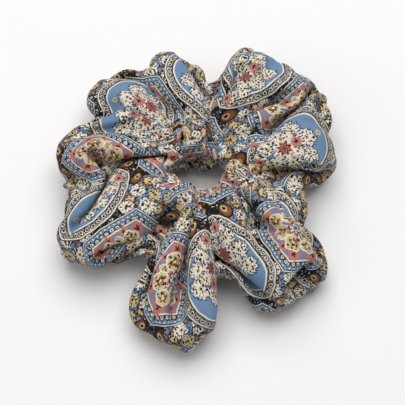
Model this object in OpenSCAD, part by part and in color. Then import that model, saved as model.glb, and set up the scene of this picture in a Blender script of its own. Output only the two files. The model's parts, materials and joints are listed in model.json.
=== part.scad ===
// Gathered fabric hair scrunchie, lying flat.
// A strip of printed cloth is sewn lengthwise into a tube, gathered over a loop of flat elastic,
// and its two ends are joined by a closing seam. The gathers bunch into nine puffs round a hole.
// The tube is cut at the plane x = ring_x, because the loop pulls open along X.

/* [Puffs] */
// Radius from the loop's centre to the valleys between the puffs
valley_r = 42; // [36:1:48]
// Share of the puffs' own length by which they stand out of the valleys
puff_reach = 1; // [0.8:0.05:1.1]
// Height of the puffs above the surface they lie on
puff_h = 34; // [26:1:40]
// Height of the gathered cloth in the valleys
valley_h = 26; // [20:1:32]

/* [Hole] */
// Half of the hole's width, along X
hole_a = 14; // [11:0.5:17]
// Half of the hole's depth, along Y
hole_b = 8; // [7:0.5:11]

/* [Cloth] */
// Wall of the sleeve: the gathered layers of cloth pressed together
wall = 1.2; // [0.8:0.1:1.6]
// Width of the raw edges turned inwards at the lengthwise seam
allowance_w = 5; // [3:0.5:6]
// Diameter of the sewing thread
thread_d = 0.5; // [0.3:0.1:0.6]

/* [Elastic] */
// Half of the elastic loop's width at rest, along X
elastic_a = 27; // [24:1:30]
// Half of the elastic loop's depth at rest, along Y
elastic_b = 22; // [20:1:25]
// Width of the flat elastic
elastic_w = 6; // [4:0.5:8]
// Thickness of the flat elastic
elastic_t = 1.5; // [1:0.1:2]
// Length over which the elastic's two ends lie on each other
lap_len = 14; // [10:1:20]

/* [Hidden] */

// The loop's centre: the origin is at the middle of the whole outline.
ring_x = 2.9;
ring_y = 9.3;
// Direction, reach from the loop's centre and half-width (degrees) of each puff.
puffs = [[13, 59, 22], [39, 70, 15], [65, 66, 20], [106, 60, 20], [136, 66, 22],
         [174, 64, 24], [212, 69, 21], [260, 81, 21], [311, 72, 32]];
// Height of the elastic's middle above the surface.
elastic_z = 14;
// Direction in which the elastic's inner end lies.
lap_dir = 196;
// Half of the gap left between the two halves of the sleeve.
part_gap = 0.2;
// Stations along each half of the sleeve, and points round its section.
stations = 48;
section_points = 20;
// Where round the section the lengthwise seam runs: 180 faces the hole.
seam_phi = 205;
// Direction of the closing seam, between two puffs.
closing_dir = 153;
// Stitches in the closing seam, and the share of their pitch that shows.
stitch_count = 26;
stitch_share = 0.6;
// Half of the thickness of the two turned edges, laid on each other.
edge_layer = 0.4;
// Distance of the seam's thread from the wall.
thread_inset = 1.2;
// Clearance between parts that only lie on each other.
clearance = 0.05;
// Share of the section's height at which it is widest.
waist = 0.42;
cloth_colour = [0.43, 0.55, 0.70];
thread_colour = [0.85, 0.84, 0.80];
elastic_colour = [0.93, 0.92, 0.89];

// Difference between two directions, from -180 to 180.
function turn(a, b) = let (d = (a - b) % 360) d > 180 ? d - 360 : d < -180 ? d + 360 : d;
// How much a puff shows in a direction: 1 along its middle, 0 past its half-width.
function swell(p, dir) = let (x = abs(turn(dir, p[0])) / p[2]) x >= 1 ? 0 : pow(1 - pow(x, 2.5), 0.7);
// The strongest puff in a direction, from 0 to 1.
function puffed(dir) = max([for (p = puffs) swell(p, dir)]);
// Outline and hole radii in a direction.
function outer_r(dir) = max([for (p = puffs) valley_r + puff_reach * (p[1] - valley_r) * swell(p, dir)]);
function oval_r(a, b, dir) = a * b / sqrt(pow(b * cos(dir), 2) + pow(a * sin(dir), 2));
function bent(x, power) = sign(x) * pow(abs(x), power);

// A point of the sleeve's section: in is how far inside the outer skin it lies.
function skin_point(dir, phi, in) =
    let (low = oval_r(hole_a, hole_b, dir), high = outer_r(dir),
         h = valley_h + (puff_h - valley_h) * puffed(dir),
         lift = 5 * max(0, 0.6 - puffed(dir)),
         rho = (low + high) / 2 + ((high - low) / 2 - in) * bent(cos(phi), 0.8),
         half = (sin(phi) > 0 ? (1 - waist) : waist * 1.25) * h - in,
         z = max(lift + in, waist * h + half * bent(sin(phi), 0.9)))
    [ring_x + rho * cos(dir), ring_y + rho * sin(dir), z];

// The whole section of the sleeve in a direction, as one loop of points.
function section(dir, in) =
    [for (i = [0 : section_points - 1]) skin_point(dir, -360 * i / section_points, in)];

// The two triangles between four points of a mesh.
function quad(a, b, c, d) = [[a, b, c], [a, c, d]];

// A solid swept through loops of the same number of points, closed by a cap at each end.
module swept(loops) {
    n = len(loops);
    m = len(loops[0]);
    sides = [for (k = [0 : n - 2], i = [0 : m - 1])
        each quad(k * m + i, (k + 1) * m + i, (k + 1) * m + (i + 1) % m, k * m + (i + 1) % m)];
    caps = [[for (i = [0 : m - 1]) i], [for (i = [m - 1 : -1 : 0]) (n - 1) * m + i]];
    polyhedron([for (l = loops) each l], concat(sides, caps), convexity = 8);
}

// A hollow solid swept through pairs of loops, with a ring-shaped face at each end.
module swept_shell(outer, inner) {
    n = len(outer);
    m = len(outer[0]);
    base = n * m;
    sides = [for (k = [0 : n - 2], i = [0 : m - 1])
        let (j = (i + 1) % m, a = k * m, b = base + k * m)
        each concat(quad(a + i, a + m + i, a + m + j, a + j), quad(b + i, b + j, b + m + j, b + m + i))];
    rims = [for (i = [0 : m - 1])
        let (j = (i + 1) % m, e = (n - 1) * m)
        each concat(quad(i, j, base + j, base + i), quad(e + i, base + e + i, base + e + j, e + j))];
    polyhedron([for (l = outer) each l, for (l = inner) each l], concat(sides, rims), convexity = 8);
}

// Directions of the stations along one half: side is 1 for the right half and -1 for the left.
function half_dirs(side) = [for (k = [0 : stations]) (side > 0 ? -90 : 90) + 180 * k / stations];

// The cloth of one half of the tube, hollow inside.
module sleeve_half(side) {
    color(cloth_colour)
    translate([side * part_gap, 0, 0])
    swept_shell([for (d = half_dirs(side)) section(d, 0)], [for (d = half_dirs(side)) section(d, wall)]);
}

// A point inside the tube, shifted outwards and upwards from the seam.
function seam_point(dir, out, up) =
    let (p = skin_point(dir, seam_phi, wall + edge_layer + 3 * clearance))
    [p[0] + out * cos(dir), p[1] + out * sin(dir), p[2] + up];

// The two raw edges turned inwards along the lengthwise seam, laid on each other.
module seam_allowance_half(side) {
    color(cloth_colour)
    translate([side * part_gap, 0, 0])
    swept([for (d = half_dirs(side)) [
        seam_point(d, 0, edge_layer),
        seam_point(d, allowance_w, edge_layer),
        seam_point(d, allowance_w, -edge_layer),
        seam_point(d, 0, -edge_layer)]]);
}

// The thread of the lengthwise seam, lying on the turned edges next to the wall.
module seam_thread_half(side) {
    r = thread_d / 2;
    middle = edge_layer + clearance + r;
    color(thread_colour)
    translate([side * part_gap, 0, 0])
    swept([for (d = half_dirs(side)) [for (i = [0 : 5])
        seam_point(d, thread_inset - r * cos(60 * i), middle + r * sin(60 * i))]]);
}

// A point of the closing seam's thread: it never sinks below the surface that the sleeve lies on.
function closing_point(phi) =
    let (p = skin_point(closing_dir, phi, -thread_d / 3))
    [p[0], p[1], max(p[2], thread_d / 2)];

// The row of stitches that closes the sleeve where its two ends meet.
module closing_stitches() {
    step = 360 / stitch_count;
    color(thread_colour)
    for (i = [0 : stitch_count - 1])
        stitch(closing_point(i * step), closing_point((i + stitch_share) * step));
}

// One straight stitch of thread between two points.
module stitch(a, b) {
    v = b - a;
    translate(a)
    rotate([0, acos(v[2] / norm(v)), atan2(v[1], v[0])])
    cylinder(d = thread_d, h = norm(v), $fn = 16);
}

// A point of the elastic loop: t turns from its inner end, rise up and deep outwards.
function elastic_point(t, rise, deep) =
    let (dir = lap_dir + 360 * t, lap = lap_len / loop_len(),
         ride = (elastic_t + 2 * clearance) * smooth((t - (1 - 2 * lap)) / lap),
         r = oval_r(elastic_a, elastic_b, dir) - elastic_t / 2 + ride + deep)
    [ring_x + r * cos(dir), ring_y + r * sin(dir), elastic_z + rise];
function smooth(x) = let (c = min(1, max(0, x))) c * c * (3 - 2 * c);
function loop_len() = PI * (3 * (elastic_a + elastic_b)
    - sqrt((3 * elastic_a + elastic_b) * (elastic_a + 3 * elastic_b)));

// The loop of flat elastic, whose outer end lies on its inner end.
module elastic_band() {
    turns = 1 + lap_len / loop_len();
    steps = 110;
    color(elastic_colour)
    swept([for (k = [0 : steps]) let (t = turns * k / steps)
        [elastic_point(t, elastic_w / 2, 0), elastic_point(t, elastic_w / 2, elastic_t),
         elastic_point(t, -elastic_w / 2, elastic_t), elastic_point(t, -elastic_w / 2, 0)]]);
}

// The zigzag that sews the elastic's two ends together: the legs that show on the outside of the lap.
module elastic_lap_stitches() {
    legs = 6;
    margin = 0.15;
    lap = lap_len / loop_len();
    pitch = lap * (1 - 2 * margin) / legs;
    reach = 0.38 * elastic_w;
    color(thread_colour)
    for (i = [0 : legs - 1])
        let (start = 1 + lap * margin + i * pitch, rise = i % 2 ? reach : -reach)
            stitch(elastic_point(start, rise, elastic_t + clearance),
                   elastic_point(start + stitch_share * pitch, -rise, elastic_t + clearance));
}

sleeve_half(-1);  // sleeve_left
sleeve_half(1);  // sleeve_right
seam_allowance_half(-1);  // seam_allowance_left
seam_allowance_half(1);  // seam_allowance_right
seam_thread_half(-1);  // seam_thread_left
seam_thread_half(1);  // seam_thread_right
closing_stitches();
elastic_band();
elastic_lap_stitches();
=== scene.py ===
"""Looks of a gathered hair scrunchie, lying flat.

A strip of printed cloth, sewn into a tube, is gathered here over its elastic by a cloth solver.
Lengths in the cloth solver and in the print are millimetres. Blender's own objects are in metres.
"""

import json
import math

import bpy
import numpy as np
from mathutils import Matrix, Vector


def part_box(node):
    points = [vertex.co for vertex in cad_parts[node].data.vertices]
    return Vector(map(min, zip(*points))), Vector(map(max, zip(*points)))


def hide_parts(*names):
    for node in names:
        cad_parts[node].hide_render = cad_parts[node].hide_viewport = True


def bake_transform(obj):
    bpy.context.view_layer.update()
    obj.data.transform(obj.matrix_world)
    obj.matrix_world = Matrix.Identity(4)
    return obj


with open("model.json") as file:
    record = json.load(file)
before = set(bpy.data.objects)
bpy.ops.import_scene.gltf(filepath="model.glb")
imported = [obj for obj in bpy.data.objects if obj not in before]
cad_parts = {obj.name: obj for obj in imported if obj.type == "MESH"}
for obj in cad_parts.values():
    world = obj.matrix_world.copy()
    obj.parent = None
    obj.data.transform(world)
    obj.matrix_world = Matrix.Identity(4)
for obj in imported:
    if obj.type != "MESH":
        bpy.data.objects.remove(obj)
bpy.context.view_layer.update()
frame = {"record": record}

MM = 0.001
MOUNTS = {m["name"]: m for m in frame["record"]["mounts"]}
LOOP = np.round(np.array(MOUNTS["hair_loop"]["pos_m"]) / MM, 3)     # middle of the elastic loop

# ---------------------------------------------------------------- the cloth strip
TUBE_LENGTH = 600.0         # between the stitches of the closing seam
TUBE_ROUND = 144.0          # between the stitches of the lengthwise seam
ALLOWANCE = 5.0             # cloth turned inwards at each edge
SEAM_AT = 0.57              # share of the way round from the rim: 0.5 faces the hole
CLOSING_DIRECTION = 153.0   # degrees

# ---------------------------------------------------------------- where the cloth gathers
# Bulges of the rim: direction, reach from the middle of the loop, half-width in degrees, height.
RIM_BULGES = [
    (12, 59, 17, 14),
    (39, 70, 10, 15),
    (66, 66, 15, 17),
    (106, 60, 15, 16),
    (136, 66, 17, 15),
    (174, 64, 16, 17),
    (212, 69, 17, 11),
    (260, 83, 17, 10),
    (298, 70, 10, 11),
    (321, 70, 16, 11),
]
# Reach of the rim between each bulge and the next.
RIM_DIPS = [52, 58, 44, 54, 58, 58, 43, 38, 62, 42]
DIP_HEIGHT = 15.0

# Folds that run from the hole to the rim. Root direction and reach, tip direction and reach,
# half-width at root and tip, height of the middle at root and tip, half-height at root and tip.
FOLDS = [
    (2, 15, 6, 44, 6.5, 14, 15, 15, 12, 16),
    (39, 20, 25, 53, 5, 8.5, 16, 17, 12, 13),
    (46, 26, 37, 61, 4.5, 7.5, 16, 17, 12, 13),
    (58, 28, 46, 55, 4.5, 8.5, 16, 17, 13, 15),
    (67, 28, 66, 53, 5, 11, 16, 17, 13, 17),
    (91, 24, 104, 44, 6, 13.5, 15, 16, 12, 16),
    (120, 12, 95, 10, 9, 9, 16, 16, 14, 14),
    (137, 26, 135, 53, 5.5, 13.5, 16, 16, 12, 15),
    (189, 14, 161, 39, 5, 8.5, 17, 18, 12, 12),
    (188, 23, 175, 50, 5.5, 14.5, 16, 17, 12, 15),
    (213, 21, 204, 50, 5, 10, 16, 15, 12, 13),
    (223, 23, 217, 60, 5, 13, 15, 14, 12, 14),
    (245, 16, 227, 48, 5, 8, 16, 14, 12, 13),
    (269, 20, 255, 67, 5, 12.5, 16, 14, 13, 15),
    (273, 20, 267, 71, 4.5, 11, 16, 13, 13, 14),
    (280, 18, 289, 47, 5, 7, 17, 15, 12, 13),
    (297, 19, 296, 63, 4.5, 10, 16, 14, 12, 14),
    (316, 21, 312, 62, 5, 14, 16, 14, 12, 15),
    (322, 16, 334, 41, 5, 8, 14, 12, 11, 12),
]

# The loop's inner edge, where the cloth is drawn in, and the hole that stays open.
GATHER_A, GATHER_B = 17.0, 10.5
GATHER_SLACK = 6.0
RIM_HALF = 4.0              # width of the strip that follows the rim, to each side
GATHER_HEIGHT = 14.0
HOLE_A, HOLE_B = 11.5, 5.0
HOLE_SHIFT = -1.0           # the hole lies a little in front of the loop's middle

# The elastic, as the frame has it. Its ends lap on its left side.
ELASTIC_LO, ELASTIC_HI = (np.round(np.array(corner) / MM, 3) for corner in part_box("elastic_band"))
ELASTIC_A, ELASTIC_B = ELASTIC_HI[:2] - LOOP[:2]
ELASTIC_Z = (ELASTIC_LO[2] + ELASTIC_HI[2]) / 2
ELASTIC_WIDTH = ELASTIC_HI[2] - ELASTIC_LO[2]
ELASTIC_CLEAR = 4.2         # how near the cloth may come to the elastic's middle
ELASTIC_THICK = 1.5


# ---------------------------------------------------------------- the cloth solver
SEED = 3                    # of the random ripple that decides where the small folds form
RIPPLE = 1.2
COARSE = (200, 48)          # points along the tube and round it
FINE = (400, 96)
SHOWN = (800, 192)
BEND = ((2, 0.25), (4, 0.05))   # points this many steps apart don't come nearer, with this strength
SURFACE = 0.6               # height of the lowest cloth's middle
LOOSE_HEIGHT = 24.0         # height of the tube's middle before it is drawn in

# ---------------------------------------------------------------- small wrinkles and seams
GATHER_WRINKLE = 0.28       # height of the fine wrinkles near the gathers
SOFT_WRINKLE = 0.14
PUCKER = 0.35               # height of the puckers along a seam, and how far they reach
PUCKER_REACH = 3.5
SEAM_DEPTH = 0.9
SEAM_HALF = 0.9
LAYER = 0.35                # between a turned edge and the cloth over it
THREAD_R = 0.22
THREAD_UP = (0.31, 0.17, 0.94)
STITCH = 2.5                # length of a stitch, and the share of it that shows
STITCH_SHARE = 0.68
LAP = 14.0                  # the elastic's two ends lie on each other over this length
LAP_DIRECTION = 196.0
LAP_RIDE = 1.6
RIBS = 6
RIB_DEPTH = 0.18

# ---------------------------------------------------------------- the print and its colours
CUT_MAP = "cut"             # UV map with places on the flat material, in millimetres
REPEAT = (66.0, 90.0)
INK_SPREAD = 0.12
PRINT_WANDER = 2.0
FILIGREE_CELL = 1.5
TICK_WIDTH, TICK_LENGTH, TICK_SHARE = 0.95, 1.7, 0.37
# Flowers: place across and up from their motif's middle, and radius.
MEDALLION_DAISIES = [
    (7.4, -4.4, 4.2),
    (0.0, -8.0, 4.4),
    (6.8, 2.8, 3.8),
    (4.0, 8.8, 3.5),
    (3.8, -1.0, 2.8),
    (1.4, 13.0, 2.6),
]
TILE_FLOWERS = [
    (4.4, 4.8, 3.6),
    (0.0, 9.2, 2.9),
    (6.6, -1.0, 2.4),
]
TILE_LEAVES = [
    (0.0, 12.8, 3.0),
    (7.4, 9.0, 2.4),
    (8.8, 3.6, 1.9),
    (2.8, 0.6, 2.2),
]
SPANDREL_LEAVES = [
    (6.0, -2.0, 4.6),
    (-6.4, 1.6, 4.6),
    (2.8, 9.2, 4.3),
    (-3.0, -9.4, 4.3),
]
SPANDREL_DAISIES = [
    (-3.4, 5.2, 3.8, "white", "rust"),
    (3.4, -5.0, 3.8, "white", "cream"),
    (5.2, 4.4, 3.0, "cream", "gold"),
    (-4.8, -4.6, 3.2, "white", "gold"),
    (0.2, 0.2, 2.8, "cream", "rust"),
    (0.4, 12.4, 3.0, "white", "rust"),
    (-0.6, -12.6, 3.0, "white", "gold"),
]
THREAD_PITCH = 0.55         # of the cloth's weave
KNIT_PITCH = 0.9            # of the elastic's knit
KNIT_SLANT = 0.6
TWIST_SCALE = 3000.0        # of the sewing thread's twist, in turns per metre


def ink_colour(code):
    """The linear colour of a display colour written in hexadecimal."""
    values = [int(code[i:i + 2], 16) / 255 for i in (0, 2, 4)]
    return (*[v / 12.92 if v <= 0.04045 else ((v + 0.055) / 1.055) ** 2.4 for v in values], 1.0)


INK = {
    "blue": ink_colour("6c88a9"),
    "white": ink_colour("e0d9cd"),
    "cream": ink_colour("cab98e"),
    "rust": ink_colour("85542d"),
    "gold": ink_colour("6f421e"),
    "coral": ink_colour("b8756a"),
    "mauve": ink_colour("7b7a92"),
    "black": ink_colour("0e0e12"),
    "elastic": ink_colour("f4f2ec"),
    "thread": ink_colour("e9e6dd"),
}

# ---------------------------------------------------------------- the studio
FLOOR_HALF = 3.0            # metres
FLOOR_COLOUR = (0.88, 0.88, 0.89)
WORLD_COLOUR = (0.96, 0.98, 1.0)
WORLD_STRENGTH = 0.24
# Name, place in metres, size, energy, colour.
SOFTBOXES = [
    ("key", (0.05, 0.32, 0.95), 1.1, 11.0, (1.0, 0.985, 0.96)),
    ("fill", (-0.5, -0.3, 0.6), 0.7, 1.2, (1.0, 1.0, 1.0)),
]
LOOK_DOWN = 62.0            # degrees
LOOK_DISTANCE = 0.65
LOOK_SHIFT = (1.2, -8.5)   # the view's middle from the loop's middle


# ---------------------------------------------------------------- gathering the cloth
def polar(direction, reach):
    """A plan point at a direction in degrees and a reach from the middle of the loop."""
    angle = math.radians(direction)
    return np.array([LOOP[0] + reach * math.cos(angle), LOOP[1] + reach * math.sin(angle)])


def smoothstep(x):
    x = min(1.0, max(0.0, x))
    return x * x * (3 - 2 * x)


def spline(p0, p1, p2, p3, t):
    """Catmull-Rom curve between p1 and p2."""
    return 0.5 * (2 * p1 + (p2 - p0) * t + (2 * p0 - 5 * p1 + 4 * p2 - p3) * t**2
                  + (3 * p1 - p0 - 3 * p2 + p3) * t**3)


def resampled(grid, count, axis):
    """The same closed grid with another number of points along one axis."""
    old = grid.shape[axis]
    place = np.arange(count) * old / count
    whole = np.floor(place).astype(int)
    shape = [1] * grid.ndim
    shape[axis] = count
    part = (place - whole).reshape(shape)
    ends = [np.take(grid, (whole + k) % old, axis) for k in (-1, 0, 1, 2)]
    return spline(*ends, part)


def rim_line(count):
    """Points at equal steps along the closed line that the middle of the rim should follow."""
    knots = []
    for i, (direction, reach, half, height) in enumerate(RIM_BULGES):
        following = RIM_BULGES[(i + 1) % len(RIM_BULGES)]
        for turn, share in ((-0.78, 0.86), (-0.4, 0.98), (0.4, 0.98), (0.78, 0.86)):
            knots.append([*polar(direction + turn * half, share * reach), height])
        gap = (following[0] - following[2] - direction - half + 180) % 360 - 180
        knots.append([*polar(direction + half + gap / 2, RIM_DIPS[i]), DIP_HEIGHT])
    dense = resampled(np.array(knots), 24 * len(knots), 0)
    steps = np.linalg.norm(np.roll(dense, -1, 0) - dense, axis=1)
    along = np.concatenate([[0], np.cumsum(steps)])
    closed = np.vstack([dense, dense[:1]])
    wanted = np.arange(count) / count * along[-1]
    return np.stack([np.interp(wanted, along, closed[:, c]) for c in range(3)], 1)


def pull(a, b, rest, strength, only_push=False):
    """How far the first of two points moves so that they come nearer to their rest distance."""
    gap = b - a
    distance = np.sqrt(np.einsum("...i,...i->...", gap, gap)) + 1e-9
    error = (distance - rest) / distance
    if only_push:
        error = np.minimum(error, 0)
    return gap * (0.5 * strength * error)[..., None]


class Tube:
    """The cloth tube as a closed grid of points: the first index runs along it, the second round it."""

    def __init__(self, points):
        self.points = points
        self.along, self.round = points.shape[:2]
        self.step = (TUBE_LENGTH / self.along, TUBE_ROUND / self.round)
        self.index = np.indices((self.along, self.round)).reshape(2, -1)
        self.near = (np.zeros(0, int), np.zeros(0, int))

    def hold_length(self, axis, reach, strength, only_push=False):
        """Keeps points that are reach steps apart along an axis at their distance in the cut cloth."""
        points = self.points if axis == 0 else self.points.swapaxes(0, 1)
        places = np.arange(points.shape[0])
        for turn in (0, 1):
            first = places[(places // reach) % 2 == turn]
            second = (first + reach) % len(places)
            a, b = points[first], points[second]
            move = pull(a, b, reach * self.step[axis], strength, only_push)
            points[first] = a + move
            points[second] = b - move

    def hold_shear(self, strength):
        rest = math.hypot(*self.step)
        for turn in (0, 1):
            first = np.arange(turn, self.along, 2)
            second = (first + 1) % self.along
            for side in (1, -1):
                a = self.points[first]
                b = np.roll(self.points[second], -side, axis=1)
                move = pull(a, b, rest, strength)
                self.points[first] = a + move
                self.points[second] -= np.roll(move, side, axis=1)

    def normals(self):
        """Unit vectors out of the tube."""
        p = self.points
        across = np.cross(np.roll(p, -1, 0) - np.roll(p, 1, 0), np.roll(p, -1, 1) - np.roll(p, 1, 1))
        return across / (np.linalg.norm(across, axis=2, keepdims=True) + 1e-9)

    def find_near(self, reach, skip):
        """Lists pairs of points that are within reach but over skip steps apart in the cloth."""
        flat = self.points.reshape(-1, 3)
        cell = np.floor(flat / reach).astype(np.int64)
        cell -= cell.min(0) - 1
        size = cell.max(0) + 2
        key = (cell[:, 0] * size[1] + cell[:, 1]) * size[2] + cell[:, 2]
        order = np.argsort(key, kind="stable")
        key = key[order]
        cells, start, count = np.unique(key, return_index=True, return_counts=True)

        def pairs(points, starts, counts):
            total = int(counts.sum())
            offset = np.arange(total) - np.repeat(np.cumsum(counts) - counts, counts)
            return np.repeat(points, counts), np.repeat(starts, counts) + offset

        place = np.arange(len(key))
        cell_of = np.repeat(np.arange(len(cells)), count)
        found = [pairs(place, place + 1, (start + count)[cell_of] - place - 1)]
        around = [(x, y, z) for x in (-1, 0, 1) for y in (-1, 0, 1) for z in (-1, 0, 1)]
        for x, y, z in around:
            if (x, y, z) <= (0, 0, 0):
                continue
            wanted = key + (x * size[1] + y) * size[2] + z
            hit = np.minimum(np.searchsorted(cells, wanted), len(cells) - 1)
            ok = cells[hit] == wanted
            found.append(pairs(place[ok], start[hit[ok]], count[hit[ok]]))
        a = order[np.concatenate([f[0] for f in found])]
        b = order[np.concatenate([f[1] for f in found])]
        apart = [np.abs(row[a] - row[b]) for row in self.index]
        apart = [np.minimum(d, n - d) for d, n in zip(apart, (self.along, self.round))]
        gap = flat[a] - flat[b]
        keep = (np.maximum(*apart) > skip) & (np.einsum("ij,ij->i", gap, gap) < reach * reach)
        self.near = (a[keep], b[keep])

    def part_layers(self, thickness):
        """Pushes layers apart where they are nearer than the cloth's thickness."""
        flat = self.points.reshape(-1, 3)
        a, b = self.near
        gap = flat[b] - flat[a]
        distance = np.sqrt(np.einsum("ij,ij->i", gap, gap)) + 1e-9
        hit = distance < thickness
        a, b = a[hit], b[hit]
        push = gap[hit] * (0.5 * (thickness - distance[hit]) / distance[hit])[:, None]
        count = np.bincount(a, minlength=len(flat)) + np.bincount(b, minlength=len(flat))
        share = 1 / np.maximum(count, 2)
        for c in range(3):
            moved = np.bincount(a, push[:, c], len(flat)) - np.bincount(b, push[:, c], len(flat))
            flat[:, c] -= moved * share


def keep_in_folds(flat, spread, lift, strength):
    """Draws points that are outside every fold back towards the nearest one."""
    best = np.full(len(flat), 1e9)
    target = np.zeros_like(flat)
    for root_dir, root_reach, tip_dir, tip_reach, w0, w1, z0, z1, h0, h1 in FOLDS:
        root = polar(root_dir, root_reach * spread)
        line = polar(tip_dir, tip_reach * spread) - root
        dx, dy = flat[:, 0] - root[0], flat[:, 1] - root[1]
        t = np.clip((dx * line[0] + dy * line[1]) / (line[0]**2 + line[1]**2), 0, 1)
        middle = np.stack([root[0] + t * line[0], root[1] + t * line[1], (z0 + t * (z1 - z0)) * lift], 1)
        half = (w0 + t * (w1 - w0)) * spread
        tall = (h0 + t * (h1 - h0)) * lift
        off = (flat - middle) / np.stack([half, half, tall], 1)
        out = np.sqrt(np.einsum("ij,ij->i", off, off))
        nearer = out < best
        best[nearer] = out[nearer]
        target[nearer] = middle[nearer]
    outside = best > 1
    flat[outside] += (target[outside] - flat[outside]) * ((1 - 1 / best[outside]) * strength)[:, None]


def keep_hole_open(flat):
    middle = LOOP[:2] + [0, HOLE_SHIFT]
    off = flat[:, :2] - middle
    out = np.sqrt((off[:, 0] / HOLE_A)**2 + (off[:, 1] / HOLE_B)**2) + 1e-6
    grow = np.where(out < 1, np.minimum((1 / out - 1) * 0.4, 2.0), 0)
    flat[:, :2] += off * grow[:, None]


def keep_off_elastic(flat, a, b, height):
    """Keeps the cloth round the elastic, which lies on an oval."""
    off = flat[:, :2] - LOOP[:2]
    reach = np.sqrt(off[:, 0]**2 + off[:, 1]**2) + 1e-6
    out = reach / np.sqrt((off[:, 0] / a)**2 + (off[:, 1] / b)**2 + 1e-9)
    radial, rise = reach - out, flat[:, 2] - height
    distance = np.sqrt(radial**2 + rise**2) + 1e-6
    push = np.where(distance < ELASTIC_CLEAR, (ELASTIC_CLEAR / distance - 1) * 0.5, 0)
    push = np.minimum(push, 1.0)
    flat[:, :2] += off * (push * radial / reach)[:, None]
    flat[:, 2] += rise * push


def gather(tube, steps, sweeps, drawn, pressure, thickness, skip, fold_pull, rim_pull, keep):
    """Draws the tube in over its elastic. drawn(share of the steps) runs from 0, loose, to 1."""
    points = tube.points
    flat = points.reshape(-1, 3)
    loose = TUBE_LENGTH / (2 * math.pi)
    tube_r = TUBE_ROUND / (2 * math.pi)
    rim = rim_line(tube.along)
    directions = np.unwrap(np.arctan2(rim[:, 1] - LOOP[1], rim[:, 0] - LOOP[0]))
    even = directions[0] + 2 * math.pi * np.arange(tube.along) / tube.along
    half = tube.along // 12
    window = np.hanning(2 * half + 1)
    drift = np.concatenate([(directions - even)[-half:], directions - even, (directions - even)[:half]])
    inner = even + np.convolve(drift, window / window.sum(), "valid")
    inner_rows = tube.round // 2 + np.arange(-1, 2) * max(1, round(1.5 / tube.step[1]))
    rim_half = round(RIM_HALF / tube.step[1])
    rim_rows = [(row, row * tube.step[1]) for row in range(-rim_half, rim_half + 1)]
    level = np.full(tube.along, LOOSE_HEIGHT)
    circle = np.stack([LOOP[0] + loose * np.cos(even), LOOP[1] + loose * np.sin(even), level], 1)
    speed = np.zeros_like(points)
    for step in range(steps):
        t = drawn(step / steps)
        bare = loose - 2 * tube_r
        angle = (1 - t) * even + t * inner
        a, b = (1 - t) * bare + t * GATHER_A, (1 - t) * bare + t * GATHER_B
        line = np.stack([LOOP[0] + a * np.cos(angle), LOOP[1] + b * np.sin(angle),
                         (1 - t) * level + t * GATHER_HEIGHT], 1)
        slack = 2 + t * (GATHER_SLACK - 2)
        guide = (1 - t) * circle + t * rim
        guide_pull = rim_pull * (1 if t < 1 else 0.3) * np.array([1, 1, 0.3])
        before = points.copy()
        points += speed * keep
        points[..., 2] -= 0.01
        points += tube.normals() * pressure
        for sweep in range(sweeps):
            tube.hold_length(1, 1, 1.0)
            tube.hold_length(0, 1, 1.0)
            tube.hold_shear(0.25)
            for reach, strength in BEND:
                tube.hold_length(0, reach, strength, True)
                tube.hold_length(1, reach, strength, True)
            for row in inner_rows:
                gap = points[:, row] - line
                distance = np.linalg.norm(gap, axis=1)
                beyond = np.maximum(distance - slack, 0) / np.maximum(distance, 1e-9)
                points[:, row] -= gap * (0.5 * beyond)[:, None]
            for row, rise in rim_rows:
                points[:, row] += (guide + [0, 0, rise] - points[:, row]) * guide_pull
            if sweep % 4 == 1:
                keep_in_folds(flat, 1 + 0.45 * (1 - t), 1 + 0.4 * (1 - t), fold_pull * t)
                wide = (1 - t) * (bare + tube_r)
                height = (1 - t) * LOOSE_HEIGHT + t * ELASTIC_Z
                keep_off_elastic(flat, wide + t * ELASTIC_A, wide + t * ELASTIC_B, height)
                keep_hole_open(flat)
            np.maximum(points[..., 2], SURFACE, out=points[..., 2])
            if sweep % 4 == 3:
                if sweep == 3 and step % 2 == 0:
                    tube.find_near(thickness * 1.35, skip)
                tube.part_layers(thickness)
        # Rounding takes out differences between processors, which would grow into other folds.
        np.round(points, 6, out=points)
        speed = np.round(points - before, 6)
        pace = np.linalg.norm(speed, axis=2, keepdims=True)
        speed *= np.minimum(1, 1.5 / np.maximum(pace, 1e-9))


def loose_tube(along, round_, rng):
    """The cloth tube before it is drawn in: a wide ring with a random ripple along its inner side."""
    tube_r = TUBE_ROUND / (2 * math.pi)
    ring_r = TUBE_LENGTH / (2 * math.pi) - tube_r
    rim = rim_line(along)
    start = math.atan2(rim[0, 1] - LOOP[1], rim[0, 0] - LOOP[0])
    share = np.arange(along) / along
    angle = start + 2 * math.pi * share

    def ripple():
        wave = sum(rng.normal() * np.cos(2 * math.pi * f * share + rng.uniform(0, 2 * math.pi))
                   for f in range(10, 40))
        return wave * RIPPLE / math.sqrt(30)

    round_angle = 2 * math.pi * np.arange(round_)[None, :] / round_
    inner = 0.5 - 0.5 * np.cos(round_angle)
    reach = ring_r + tube_r * np.cos(round_angle) + ripple()[:, None] * inner
    height = LOOSE_HEIGHT + tube_r * 0.95 * np.sin(round_angle) + ripple()[:, None] * inner
    x = LOOP[0] + reach * np.cos(angle)[:, None]
    y = LOOP[1] + reach * np.sin(angle)[:, None]
    grid = np.stack([x, y, height], 2)
    return grid + rng.normal(scale=0.08, size=grid.shape)


def gathered_cloth():
    """The finished tube, in millimetres."""
    rng = np.random.default_rng(SEED)
    coarse = Tube(loose_tube(*COARSE, rng))
    gather(coarse, 280, 8, lambda s: smoothstep(s / 0.65), pressure=0.10, thickness=2.8, skip=2,
           fold_pull=0.75, rim_pull=0.03, keep=0.92)
    grid = resampled(resampled(coarse.points, FINE[0], 0), FINE[1], 1)
    fine = Tube(grid)
    gather(fine, 60, 8, lambda s: 1.0, pressure=0.04, thickness=1.5, skip=3,
           fold_pull=0.25, rim_pull=0.01, keep=0.9)
    return fine.points


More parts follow.
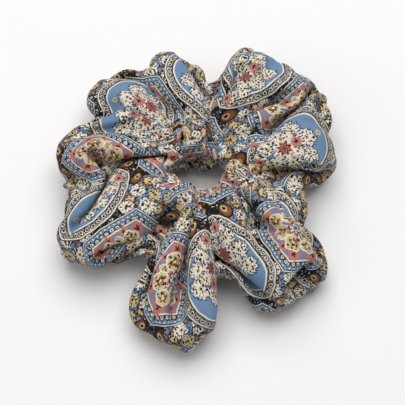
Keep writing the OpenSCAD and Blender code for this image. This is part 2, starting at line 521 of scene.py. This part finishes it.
# ---------------------------------------------------------------- the sleeve's mesh
def mesh_object(name, points, faces):
    """A new smooth mesh object from points in millimetres."""
    mesh = bpy.data.meshes.new(name)
    mesh.from_pydata((np.asarray(points) * MM).tolist(), [], [tuple(face) for face in faces])
    mesh.polygons.foreach_set("use_smooth", [True] * len(mesh.polygons))
    mesh.update()
    piece = bpy.data.objects.new(name, mesh)
    bpy.context.scene.collection.objects.link(piece)
    return piece


def value_noise(shape, cells, rng):
    """Smooth random numbers over a closed grid, with a number of cells along each axis."""
    coarse = rng.uniform(-1, 1, size=cells)
    return resampled(resampled(coarse, shape[0], 0), shape[1], 1)


def wrinkled(grid, rng):
    """Adds the wrinkles that are too small for the solver's grid, and the dents along both seams."""
    shape = grid.shape[:2]
    share_along = np.arange(shape[0])[:, None] / shape[0]
    share_round = np.arange(shape[1])[None, :] / shape[1]
    gathered = (0.5 - 0.5 * np.cos(2 * math.pi * share_round)) ** 2
    height = GATHER_WRINKLE * value_noise(shape, (150, 7), rng) * (0.2 + gathered)
    height += SOFT_WRINKLE * value_noise(shape, (60, 16), rng)
    from_lengthwise = TUBE_ROUND * np.abs((share_round - SEAM_AT + 0.5) % 1 - 0.5)
    from_closing = TUBE_LENGTH * np.abs((share_along + 0.5) % 1 - 0.5)
    for distance, cells in ((from_lengthwise, (170, 1)), (from_closing, (1, 40))):
        height += PUCKER * value_noise(shape, cells, rng) * np.exp(-(distance / PUCKER_REACH) ** 2)
        height -= SEAM_DEPTH * np.exp(-(distance / SEAM_HALF) ** 2)
    return grid + Tube(grid).normals() * height[..., None]


def turned_to_seams(grid):
    """The same tube, with the closing seam at its first row and the lengthwise seam at its first column."""
    rim = grid[:, 0]
    direction = np.degrees(np.arctan2(rim[:, 1] - LOOP[1], rim[:, 0] - LOOP[0]))
    first_row = int(np.argmin(np.abs((direction - CLOSING_DIRECTION + 180) % 360 - 180)))
    return np.roll(grid, -first_row, axis=0)


def folded_places(count, turned):
    """Places of a strip's lines on the closed tube, and how deep each lies under the tube's own cloth.

    The strip is a few lines longer than the tube at each end, and those are folded back under it.
    """
    under = np.arange(1, turned + 1)
    places = np.concatenate([under[::-1], np.arange(count + 1), count - under])
    depth = np.concatenate([np.ones(turned), np.zeros(count + 1), np.ones(turned)])
    return places, depth


def make_sleeve(grid):
    """The printed sleeve: one strip of cloth that meets at its two seams, with its edges turned in."""
    steps = (TUBE_LENGTH / grid.shape[0], TUBE_ROUND / grid.shape[1])
    turned = [round(ALLOWANCE / step) for step in steps]
    first = round(SEAM_AT * grid.shape[1])
    tube = Tube(np.roll(grid, -first, axis=1))
    normals = tube.normals()
    rows, row_depth = folded_places(tube.along, turned[0])
    columns, column_depth = folded_places(tube.round, turned[1])
    place = (rows[:, None] % tube.along, columns[None, :] % tube.round)
    depth = LAYER * (row_depth[:, None] + column_depth[None, :])
    points = (tube.points[place] - normals[place] * depth[..., None]).reshape(-1, 3)
    count = (len(rows), len(columns))
    corner = (np.arange(count[0] - 1)[:, None] * count[1] + np.arange(count[1] - 1)).reshape(-1)
    faces = np.stack([corner, corner + count[1], corner + count[1] + 1, corner + 1], 1)
    sleeve = mesh_object("printed_sleeve", points, faces)
    along = (np.arange(count[0])[:, None] - turned[0]) * steps[0]
    round_ = (np.arange(count[1])[None, :] - turned[1]) * steps[1]
    cut = np.stack(np.broadcast_arrays(along, round_), 2).reshape(-1, 2)
    set_cut(sleeve, cut[faces.reshape(-1)])
    on_fold = np.zeros(count, bool)
    on_fold[[turned[0], -1 - turned[0]], :] = True
    on_fold[:, [turned[1], -1 - turned[1]]] = True
    mark_sharp(sleeve.data, on_fold.reshape(-1))
    return sleeve


def set_cut(piece, places):
    """Gives each face corner its place on the flat, uncut material, in millimetres."""
    layer = piece.data.uv_layers.new(name=CUT_MAP)
    layer.data.foreach_set("uv", np.asarray(places, np.float32).reshape(-1))


def mark_sharp(mesh, on_fold):
    """Keeps the shading of the folded edges apart from that of the cloth beside them."""
    ends = np.zeros(len(mesh.edges) * 2, np.int32)
    mesh.edges.foreach_get("vertices", ends)
    sharp = on_fold[ends.reshape(-1, 2)].all(axis=1)
    mesh.attributes.new("sharp_edge", "BOOLEAN", "EDGE").data.foreach_set("value", sharp)


# ---------------------------------------------------------------- threads and elastic
def thread_object(name, paths, sides=8):
    """Round threads, one along each path, with rounded ends."""
    points, faces = [], []
    turn = 2 * math.pi * np.arange(sides) / sides
    for path in paths:
        path = np.asarray(path)
        tangent = np.gradient(path, axis=0)
        side = np.cross(tangent, THREAD_UP)
        side /= np.linalg.norm(side, axis=1, keepdims=True)
        other = np.cross(tangent, side)
        other /= np.linalg.norm(other, axis=1, keepdims=True)
        radius = np.full(len(path), THREAD_R)
        radius[[0, -1]] *= 0.5
        base = len(points)
        for place, s, o, r in zip(path, side, other, radius):
            points.extend(place + r * (math.cos(a) * s + math.sin(a) * o) for a in turn)
        for ring in range(base, base + (len(path) - 1) * sides, sides):
            for i in range(sides):
                j = (i + 1) % sides
                faces.append((ring + i, ring + j, ring + sides + j, ring + sides + i))
        last = base + (len(path) - 1) * sides
        faces.append(tuple(base + i for i in reversed(range(sides))))
        faces.append(tuple(last + i for i in range(sides)))
    return mesh_object(name, points, faces)


def at(field, along, round_):
    """The field's value between its grid points."""
    i, j = int(math.floor(along)), int(math.floor(round_))
    u, v = along - i, round_ - j
    rows, columns = field.shape[:2]
    low, high = (field[i % rows], field[(i + 1) % rows])
    a = low[j % columns] * (1 - v) + low[(j + 1) % columns] * v
    b = high[j % columns] * (1 - v) + high[(j + 1) % columns] * v
    return a * (1 - u) + b * u


def stitch_paths(tube, axis, line, steps=5):
    """Paths of the stitches along a seam: axis is the one that the seam runs along, line its place."""
    count = tube.points.shape[axis]
    stitches = round(count * tube.step[axis] / STITCH)
    normals = tube.normals()
    paths = []
    for k in range(stitches):
        path = []
        for t in np.linspace(0, 1, steps):
            place = (k + STITCH_SHARE * t) * count / stitches
            where = (place, line) if axis == 0 else (line, place)
            sunk = THREAD_R * (0.2 + 1.3 * abs(2 * t - 1) ** 3)
            path.append(at(tube.points, *where) - at(normals, *where) * sunk)
        paths.append(path)
    return paths


def loop_length():
    """Length of the elastic loop, along the middle of its thickness."""
    a, b = ELASTIC_A - ELASTIC_THICK / 2, ELASTIC_B - ELASTIC_THICK / 2
    return math.pi * (3 * (a + b) - math.sqrt((3 * a + b) * (a + 3 * b)))


def elastic_point(turn, rise, deep):
    """A point of the elastic loop: turn runs from its inner end, rise is up and deep outwards."""
    lap = LAP / loop_length()
    angle = math.radians(LAP_DIRECTION) + 2 * math.pi * turn
    a, b = ELASTIC_A - ELASTIC_THICK / 2, ELASTIC_B - ELASTIC_THICK / 2
    reach = a * b / math.hypot(b * math.cos(angle), a * math.sin(angle)) - ELASTIC_THICK / 2
    reach += deep + LAP_RIDE * smoothstep((turn - (1 - 2 * lap)) / lap)
    return [LOOP[0] + reach * math.cos(angle), LOOP[1] + reach * math.sin(angle), ELASTIC_Z + rise]


def make_elastic(steps=420, across=37):
    """Flat braided elastic with raised ribs along it, its two ends lapped."""
    turns = 1 + LAP / loop_length()
    shares = np.linspace(0, 1, across)
    loop = [(s, 1) for s in shares] + [(s, -1) for s in shares[::-1]]
    points, cut = [], []
    for k in range(steps + 1):
        turn = turns * k / steps
        for s, side in loop:
            rib = RIB_DEPTH * abs(math.sin(math.pi * RIBS * s))
            edge = min(1, 8 * min(s, 1 - s) + 0.3)
            deep = ELASTIC_THICK / 2 + side * edge * (ELASTIC_THICK / 2 - RIB_DEPTH + rib)
            points.append(elastic_point(turn, (s - 0.5) * ELASTIC_WIDTH, deep))
            cut.append((turn * loop_length(), s * ELASTIC_WIDTH))
    ring = len(loop)
    faces = []
    for low in range(0, steps * ring, ring):
        for i in range(ring):
            j = (i + 1) % ring
            faces.append((low + i, low + ring + i, low + ring + j, low + j))
    faces.append(tuple(range(ring)))
    faces.append(tuple(steps * ring + i for i in reversed(range(ring))))
    elastic = mesh_object("ribbed_elastic", points, faces)
    set_cut(elastic, [cut[i] for face in faces for i in face])
    return elastic


def make_lap_zigzag(legs=12, steps=8):
    """Zigzag stitches that sew the elastic's two ends together."""
    lap = LAP / loop_length()
    reach = 0.38 * ELASTIC_WIDTH
    path = []
    for leg in range(legs):
        low = -reach if leg % 2 == 0 else reach
        for t in np.linspace(0, 1, steps, endpoint=False):
            turn = 1 + lap * (0.12 + 0.76 * (leg + t) / legs)
            path.append(elastic_point(turn, low - 2 * low * t, ELASTIC_THICK + 0.3 * THREAD_R))
    return thread_object("lap_zigzag_thread", [path])


# ---------------------------------------------------------------- numbers that vary over the cloth
class Field:
    """A number that varies over the cloth, worked out by shader nodes."""

    def __init__(self, socket):
        self.socket = socket
        self.tree = socket.id_data

    def __add__(self, other):
        return calculate("ADD", self, other)

    def __radd__(self, other):
        return calculate("ADD", other, self)

    def __sub__(self, other):
        return calculate("SUBTRACT", self, other)

    def __rsub__(self, other):
        return calculate("SUBTRACT", other, self)

    def __mul__(self, other):
        return calculate("MULTIPLY", self, other)

    def __rmul__(self, other):
        return calculate("MULTIPLY", other, self)

    def __lt__(self, other):
        return calculate("LESS_THAN", self, other)

    def __gt__(self, other):
        return calculate("GREATER_THAN", self, other)

    def __neg__(self):
        return calculate("MULTIPLY", self, -1.0)

    def __abs__(self):
        return calculate("ABSOLUTE", self)


def feed(socket, value):
    """Puts a field, another node's output or a plain value into a node's input."""
    if isinstance(value, Field):
        value = value.socket
    if isinstance(value, bpy.types.NodeSocket):
        socket.id_data.links.new(value, socket)
    else:
        socket.default_value = value


def calculate(operation, *values):
    """A field made from fields and plain numbers by one Math node."""
    tree = next(value.tree for value in values if isinstance(value, Field))
    node = tree.nodes.new("ShaderNodeMath")
    node.operation = operation
    for socket, value in zip(node.inputs, values):
        feed(socket, value)
    return Field(node.outputs[0])


def larger(a, b):
    return calculate("MAXIMUM", a, b)


def wrap(a, half):
    """The field repeated from -half to half."""
    return calculate("WRAP", a, half, -half)


def cosine(a):
    return calculate("COSINE", a)


def angle_of(x, y):
    return calculate("ARCTAN2", y, x)


def distance_of(x, y):
    return calculate("SQRT", x * x + y * y)


def choose(mask, a, b):
    """a where the mask is 1, b where it is 0."""
    return b + mask * (a - b)


def inside(distance, edge=0.0):
    """1 where the distance is under the edge and 0 beyond it, with the softness of a printed line."""
    node = distance.tree.nodes.new("ShaderNodeMapRange")
    feed(node.inputs["Value"], distance)
    node.inputs["From Min"].default_value = edge - INK_SPREAD
    node.inputs["From Max"].default_value = edge + INK_SPREAD
    node.inputs["To Min"].default_value = 1.0
    node.inputs["To Max"].default_value = 0.0
    return Field(node.outputs[0])


def band(distance, low, high):
    return inside(abs(distance - (low + high) / 2), (high - low) / 2)


def mixed(tree, factor, a, b, blend="MIX"):
    """Output of a node that mixes two colours."""
    node = tree.nodes.new("ShaderNodeMix")
    node.data_type = "RGBA"
    node.blend_type = blend
    feed(node.inputs["Factor"], factor)
    colours = [socket for socket in node.inputs if socket.type == "RGBA"]
    for socket, value in zip(colours, (a, b)):
        feed(socket, value)
    return next(socket for socket in node.outputs if socket.type == "RGBA")


# ---------------------------------------------------------------- the print
class Print:
    """Inks laid over each other on the cloth. Ticks and rough are what makes drawn petals uneven."""

    def __init__(self, tree, ground, places):
        self.tree = tree
        self.colour = ground
        self.ticks = small_ticks(tree, places)
        self.rough = noise_value(tree, places, 1.1, 3.0) * 2.4 - 1.2

    def ink(self, mask, colour):
        self.colour = mixed(self.tree, mask, self.colour, colour)


def daisy(p, x, y, radius, petals, petal, heart, notch=0.24):
    """A flower of ragged petals, each with a dark stroke, with dark teeth round it and a seeded heart."""
    distance = distance_of(x, y)
    angle = angle_of(x, y) + p.rough * 0.25
    petal_shape = abs(cosine(angle * (petals / 2)))
    edge = distance + p.rough * 0.8 - radius * (1 - notch) - petal_shape * (radius * notch)
    p.ink(inside(edge, 0.75) * (cosine(angle * (2.3 * petals)) > -0.3), INK["black"])
    p.ink(inside(edge), petal)
    p.ink(inside(edge, -0.1) * p.ticks, INK["black"])
    strokes = band(distance + p.rough, 0.45 * radius, 0.8 * radius)
    p.ink(strokes * (petal_shape > 0.93), INK["black"])
    core = distance + p.rough * 0.6
    p.ink(inside(core, 0.26 * radius), heart)
    p.ink(inside(core, 0.12 * radius), INK["black"])


def pansy(p, x, y, radius):
    """A round cream flower with a ragged rust heart."""
    distance = distance_of(x, y)
    petals = distance + p.rough * 0.4 - abs(cosine(angle_of(x, y) * 2.5)) * (0.16 * radius)
    p.ink(inside(petals, radius), INK["white"])
    p.ink(inside(petals, 0.86 * radius), INK["cream"])
    heart = distance + p.rough - cosine(angle_of(x, y - 0.3 * radius) * 5) * (0.2 * radius)
    p.ink(inside(heart, 0.5 * radius), INK["rust"])
    p.ink(inside(heart, 0.12 * radius), INK["white"])
    p.ink(band(distance, 0.25 * radius, 0.95 * radius) * p.ticks, INK["black"])


def rosette(p, x, y, radius, lobes, colours):
    """Lobed rings, one inside the other."""
    distance = distance_of(x, y)
    wave = cosine(angle_of(x, y) * lobes) * (0.16 * radius) - p.rough * 0.8
    for i, colour in enumerate(colours):
        p.ink(inside(distance - wave, radius * (1 - i / len(colours))), colour)


def drop(p, x, y, radius, lean):
    """A paisley drop with a dark rim and a light curl."""
    distance = distance_of(x + y * lean, y * 0.8)
    p.ink(inside(distance, radius + 0.6), INK["black"])
    p.ink(inside(distance, radius), INK["gold"])
    p.ink(inside(distance + p.rough * 0.5, 0.75 * radius), INK["rust"])
    curl = distance_of(x + 0.5 + y * lean, y * 0.8 - 0.6) + p.rough * 0.3
    p.ink(band(curl, 0.28 * radius, 0.5 * radius), INK["cream"])
    p.ink(inside(curl, 0.28 * radius), INK["black"])


def leaves(p, x, y, radius, count, colour):
    """A spray of narrow pointed leaves round a pale heart, with dark ticks."""
    distance = distance_of(x, y)
    point = cosine(angle_of(x, y) * count)
    edge = distance + p.rough * 0.7 - radius * 0.5 - larger(point, 0.0) * (radius * 0.5)
    p.ink(inside(edge, 0.55), INK["black"])
    p.ink(inside(edge), colour)
    p.ink(inside(distance + p.rough * 1.2, 0.42 * radius), INK["cream"])
    p.ink(inside(edge) * p.ticks, INK["black"])


def small_ticks(tree, places):
    """Short dark strokes, as an engraver shades a petal."""
    stretched = tree.nodes.new("ShaderNodeVectorMath")
    stretched.operation = "MULTIPLY"
    feed(stretched.inputs[0], places)
    stretched.inputs[1].default_value = (1 / TICK_WIDTH, 1 / TICK_LENGTH, 1)
    cells = tree.nodes.new("ShaderNodeTexVoronoi")
    cells.inputs["Scale"].default_value = 1.0
    feed(cells.inputs["Vector"], stretched.outputs[0])
    return Field(cells.outputs["Distance"]) < TICK_SHARE


def draw_filigree(p, places):
    """Black and white scrollwork with rust and grey fillings, on all the ground between the motifs."""
    cells = p.tree.nodes.new("ShaderNodeTexVoronoi")
    veins = p.tree.nodes.new("ShaderNodeTexVoronoi")
    veins.feature = "DISTANCE_TO_EDGE"
    for node in (cells, veins):
        node.inputs["Scale"].default_value = 1 / FILIGREE_CELL
        feed(node.inputs["Vector"], places)
    split = p.tree.nodes.new("ShaderNodeSeparateColor")
    feed(split.inputs["Color"], cells.outputs["Color"])
    chance = Field(split.outputs[0])
    core = Field(cells.outputs["Distance"])
    p.ink(inside(chance, 0.24), INK["rust"])
    p.ink(chance > 0.7, INK["blue"])
    p.ink(inside(core, 0.26), INK["black"])
    p.ink(Field(veins.outputs["Distance"]) < 0.2, INK["black"])


def draw_spandrel(p, x, y):
    """Daisies and rust leaves on blue ground, halfway between the motifs."""
    gap = distance_of(x, y * 0.72)
    p.ink(inside(gap + p.rough, 10.5), INK["blue"])
    for across, up, size in SPANDREL_LEAVES:
        leaves(p, x - across, y - up, size, 9, INK["rust"])
    for across, up, size, petal, heart in SPANDREL_DAISIES:
        daisy(p, x - across, y - up, size, 9, INK[petal], INK[heart])


def draw_medallion(p, x, y):
    """A blue drop-shaped medallion with a chain round it. Its round end points down, and x is mirrored."""
    low, radius, lean = -5.0, 12.8, 9.0
    above = y > low
    edge = distance_of(x + above * lean, y - low) - (radius + above * lean)
    angle = angle_of(x, y - low)
    for width, colour in ((4.6, "black"), (4.2, "white"), (3.7, "black")):
        p.ink(inside(edge, width), INK[colour])
    along = angle * (radius + 2.0)
    scroll = distance_of(wrap(along, 1.3), edge - 2.3) + p.rough * 0.7
    p.ink(band(scroll, 0.5, 0.85), INK["white"])
    p.ink(band(scroll, 1.35, 1.55), INK["white"])
    p.ink(inside(edge, 1.1), INK["black"])
    p.ink(inside(edge, 0.65), INK["white"])
    p.ink(inside(edge), INK["blue"])
    for across, up, size in MEDALLION_DAISIES:
        daisy(p, x - across, y - up, size, 11, INK["white"], INK["cream"])
    rosette(p, x, y - 3.0, 3.9, 8, [INK[c] for c in ("white", "coral", "black", "coral", "black")])
    rosette(p, x, y + 3.0, 2.2, 5, [INK["coral"], INK["coral"], INK["black"]])
    rosette(p, x, y - 14.4, 1.9, 5, [INK["coral"], INK["coral"], INK["black"]])
    diamond = x + abs(y + 14.6) * 0.8
    p.ink(inside(diamond, 1.4), INK["cream"])
    p.ink(inside(diamond, 0.5), INK["rust"])


def draw_tile(p, x, y):
    """A mauve tile, pointed at both ends, in a blue band with white dots and black lace."""
    side, tip, slope = 10.2, 15.8, 0.52
    along_side = x - side
    along_tip = x * math.sin(slope) + y * math.cos(slope) - tip * math.cos(slope)
    edge = larger(along_side, along_tip)
    on_tip = along_tip > along_side
    along = choose(on_tip, x * math.cos(slope) - y * math.sin(slope), y)
    for width, colour in ((4.9, "black"), (4.6, "white"), (4.2, "black"), (3.8, "blue")):
        p.ink(inside(edge, width), INK[colour])
    p.ink(inside(distance_of(wrap(along, 1.0), edge - 3.2), 0.34), INK["white"])
    lace = distance_of(wrap(along, 1.2), edge - 1.5) + p.rough * 0.5
    p.ink(inside(lace, 1.2), INK["black"])
    p.ink(band(lace, 0.3, 0.7), INK["white"])
    for width, colour in ((0.95, "black"), (0.6, "white"), (0.0, "mauve")):
        p.ink(inside(edge, width), INK[colour])
    for across, up, size in TILE_LEAVES:
        rosette(p, x - across, y - up, size, 5, [INK["coral"], INK["coral"], INK["black"]])
    for across, up, radius in TILE_FLOWERS:
        pansy(p, x - across, y - up, radius)
    rosette(p, x, y, 3.4, 6, [INK[c] for c in ("coral", "black", "white", "blue", "black")])


def cloth_places(tree):
    """Where each point lies on the cut cloth, drawn slightly out of true, and that place's two fields."""
    source = tree.nodes.new("ShaderNodeUVMap")
    source.uv_map = CUT_MAP
    noise = tree.nodes.new("ShaderNodeTexNoise")
    noise.inputs["Scale"].default_value = 0.12
    feed(noise.inputs["Vector"], source.outputs[0])
    centred = tree.nodes.new("ShaderNodeVectorMath")
    centred.operation = "SUBTRACT"
    feed(centred.inputs[0], noise.outputs["Color"])
    centred.inputs[1].default_value = (0.5, 0.5, 0.5)
    shifted = tree.nodes.new("ShaderNodeVectorMath")
    shifted.operation = "MULTIPLY_ADD"
    feed(shifted.inputs[0], centred.outputs[0])
    shifted.inputs[1].default_value = (PRINT_WANDER, PRINT_WANDER, 0)
    feed(shifted.inputs[2], source.outputs[0])
    parts = tree.nodes.new("ShaderNodeSeparateXYZ")
    feed(parts.inputs[0], shifted.outputs[0])
    return source.outputs[0], shifted.outputs[0], Field(parts.outputs[0]), Field(parts.outputs[1])


def repeated(x, y, width, height):
    """Mirrored places round the nearest of a pattern's staggered motifs."""
    a, b = abs(wrap(x, width / 2)), wrap(y, height / 2)
    near = (a * (1 / width) + abs(b) * (1 / height)) < 0.5
    other = b - calculate("SIGN", b) * (height / 2)
    return choose(near, a, width / 2 - a), choose(near, b, other)


def draw_print(tree, places, x, y):
    """The whole print's colour."""
    width, height = REPEAT
    p = Print(tree, INK["white"], places)
    draw_filigree(p, places)
    draw_spandrel(p, abs(wrap(x, width / 2)) - width / 4, abs(wrap(y, height / 2)) - height / 4)
    draw_medallion(p, *repeated(x, y, width, height))
    tile_x, tile_y = repeated(x + width / 2, y, width, height)
    draw_tile(p, tile_x, abs(tile_y))
    medal_x, medal_y = repeated(x, y, width, height)
    drop(p, medal_x - 5.2, medal_y - 20.5, 2.5, 0.35)
    return p.colour


# ---------------------------------------------------------------- materials
def new_material(name, roughness):
    """A material and its shader."""
    material = bpy.data.materials.new(name)
    material.use_nodes = True
    shader = material.node_tree.nodes["Principled BSDF"]
    shader.inputs["Roughness"].default_value = roughness
    return material, shader


def noise_value(tree, places, scale, detail=2.0):
    """A noise field, from 0 to 1."""
    node = tree.nodes.new("ShaderNodeTexNoise")
    node.inputs["Scale"].default_value = scale
    node.inputs["Detail"].default_value = detail
    feed(node.inputs["Vector"], places)
    return Field(node.outputs[0])


def add_bump(tree, shader, height, strength, depth):
    """Relief from a height field. Its depth is in millimetres."""
    bump = tree.nodes.new("ShaderNodeBump")
    bump.inputs["Strength"].default_value = strength
    bump.inputs["Distance"].default_value = depth * MM
    feed(bump.inputs["Height"], height)
    feed(shader.inputs["Normal"], bump.outputs[0])


def shaded(tree, colour, factor):
    """The colour, lighter or darker by a field round 1."""
    grey = tree.nodes.new("ShaderNodeCombineColor")
    for socket in grey.inputs:
        if socket.type == "VALUE":
            feed(socket, factor)
    return mixed(tree, 1.0, colour, grey.outputs[0], "MULTIPLY")


def cloth_material():
    """Printed crepe: a fine plain weave with small raised threads and a slight sheen."""
    material, shader = new_material("printed_crepe", 0.74)
    tree = material.node_tree
    flat, places, x, y = cloth_places(tree)
    colour = draw_print(tree, places, x, y)
    turns = 2 * math.pi / THREAD_PITCH
    warp = cosine(x * turns)
    weft = cosine(y * turns)
    crepe = noise_value(tree, flat, 1.6)
    shade = noise_value(tree, flat, 0.06) * 0.12 + warp * weft * 0.03 + crepe * 0.08 + 0.90
    feed(shader.inputs["Base Color"], shaded(tree, colour, shade))
    add_bump(tree, shader, warp * weft * 0.5 + crepe, 0.35, 0.12)
    shader.inputs["Specular IOR Level"].default_value = 0.2
    shader.inputs["Sheen Weight"].default_value = 0.05
    shader.inputs["Sheen Roughness"].default_value = 0.4
    return material


def elastic_material():
    """White knitted elastic."""
    material, shader = new_material("knitted_elastic", 0.8)
    tree = material.node_tree
    flat, _, x, y = cloth_places(tree)
    turns = 2 * math.pi / KNIT_PITCH
    knit = cosine((x + y * KNIT_SLANT) * turns) * cosine((x - y * KNIT_SLANT) * turns)
    shade = knit * 0.06 + noise_value(tree, flat, 0.8) * 0.08 + 0.88
    feed(shader.inputs["Base Color"], shaded(tree, INK["elastic"], shade))
    add_bump(tree, shader, knit, 0.5, 0.15)
    shader.inputs["Specular IOR Level"].default_value = 0.25
    return material


def thread_material():
    """Spun sewing thread with a fine twist."""
    material, shader = new_material("spun_thread", 0.65)
    tree = material.node_tree
    coordinates = tree.nodes.new("ShaderNodeTexCoord")
    twist = noise_value(tree, coordinates.outputs["Object"], TWIST_SCALE, 1.0)
    feed(shader.inputs["Base Color"], shaded(tree, INK["thread"], twist * 0.3 + 0.75))
    add_bump(tree, shader, twist, 0.4, 0.05)
    shader.inputs["Specular IOR Level"].default_value = 0.3
    return material


# ---------------------------------------------------------------- putting it together
def follow_stretch(piece):
    """Moves the piece's placing in the world into its mesh."""
    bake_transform(piece)


def build_scrunchie():
    """Makes every piece of the scrunchie with its material, and hides the parts of the frame that it
    replaces.
    """
    rng = np.random.default_rng(SEED + 1)
    grid = gathered_cloth()
    grid = resampled(resampled(grid, SHOWN[0], 0), SHOWN[1], 1)
    grid = wrinkled(turned_to_seams(grid), rng)
    tube = Tube(grid)
    sleeve = make_sleeve(grid)
    elastic = make_elastic()
    zigzag = make_lap_zigzag()
    seam = thread_object("lengthwise_seam_thread", stitch_paths(tube, 0, SEAM_AT * tube.round))
    closing = thread_object("closing_seam_thread", stitch_paths(tube, 1, 0))
    thread = thread_material()
    rows = [
        (sleeve, cloth_material(), "printed_cloth",
         ("sleeve_left", "sleeve_right", "seam_allowance_left", "seam_allowance_right")),
        (elastic, elastic_material(), "elastic", ("elastic_band",)),
        (zigzag, thread, "thread", ("elastic_lap_stitches",)),
        (seam, thread, "thread", ("seam_thread_left", "seam_thread_right")),
        (closing, thread, "thread", ("closing_stitches",)),
    ]
    for piece, material, slot, nodes in rows:
        piece.data.materials.append(material)
        follow_stretch(piece)
        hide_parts(*nodes)


# ---------------------------------------------------------------- floor, light and camera
def point_at(thing, place):
    """Turns a light or camera so that it looks at a place, in metres."""
    away = thing.location - Vector(place)
    thing.rotation_euler = away.to_track_quat("Z", "Y").to_euler()


def add_floor():
    mesh = bpy.data.meshes.new("floor")
    corners = [(x, y, 0) for x, y in ((-1, -1), (1, -1), (1, 1), (-1, 1))]
    mesh.from_pydata([[FLOOR_HALF * c for c in corner] for corner in corners], [], [(0, 1, 2, 3)])
    mesh.update()
    floor = bpy.data.objects.new("floor", mesh)
    bpy.context.scene.collection.objects.link(floor)
    material, shader = new_material("floor", 0.6)
    shader.inputs["Base Color"].default_value = (*FLOOR_COLOUR, 1)
    shader.inputs["Specular IOR Level"].default_value = 0.2
    floor.data.materials.append(material)


def add_softbox(name, place, size, energy, colour):
    lamp = bpy.data.lights.new(name, "AREA")
    lamp.size = size
    lamp.energy = energy
    lamp.color = colour
    box = bpy.data.objects.new(name, lamp)
    box.location = place
    point_at(box, (LOOP[0] * MM, LOOP[1] * MM, 0))
    bpy.context.scene.collection.objects.link(box)


def add_world():
    world = bpy.data.worlds.new("studio")
    bpy.context.scene.world = world
    world.use_nodes = True
    background = world.node_tree.nodes["Background"]
    background.inputs["Color"].default_value = (*WORLD_COLOUR, 1)
    background.inputs["Strength"].default_value = WORLD_STRENGTH


def add_camera():
    """The photo's own view, from the front and above."""
    data = bpy.data.cameras.new("camera")
    data.lens = 136
    data.sensor_width = 36
    camera = bpy.data.objects.new("camera", data)
    target = Vector(((LOOP[0] + LOOK_SHIFT[0]) * MM, (LOOP[1] + LOOK_SHIFT[1]) * MM, 0))
    rise = math.radians(LOOK_DOWN)
    camera.location = target + Vector((0, -math.cos(rise), math.sin(rise))) * LOOK_DISTANCE
    point_at(camera, target)
    bpy.context.scene.collection.objects.link(camera)
    bpy.context.scene.camera = camera


build_scrunchie()
add_floor()
add_world()
for softbox in SOFTBOXES:
    add_softbox(*softbox)
add_camera()
bpy.context.scene.view_settings.view_transform = "Standard"
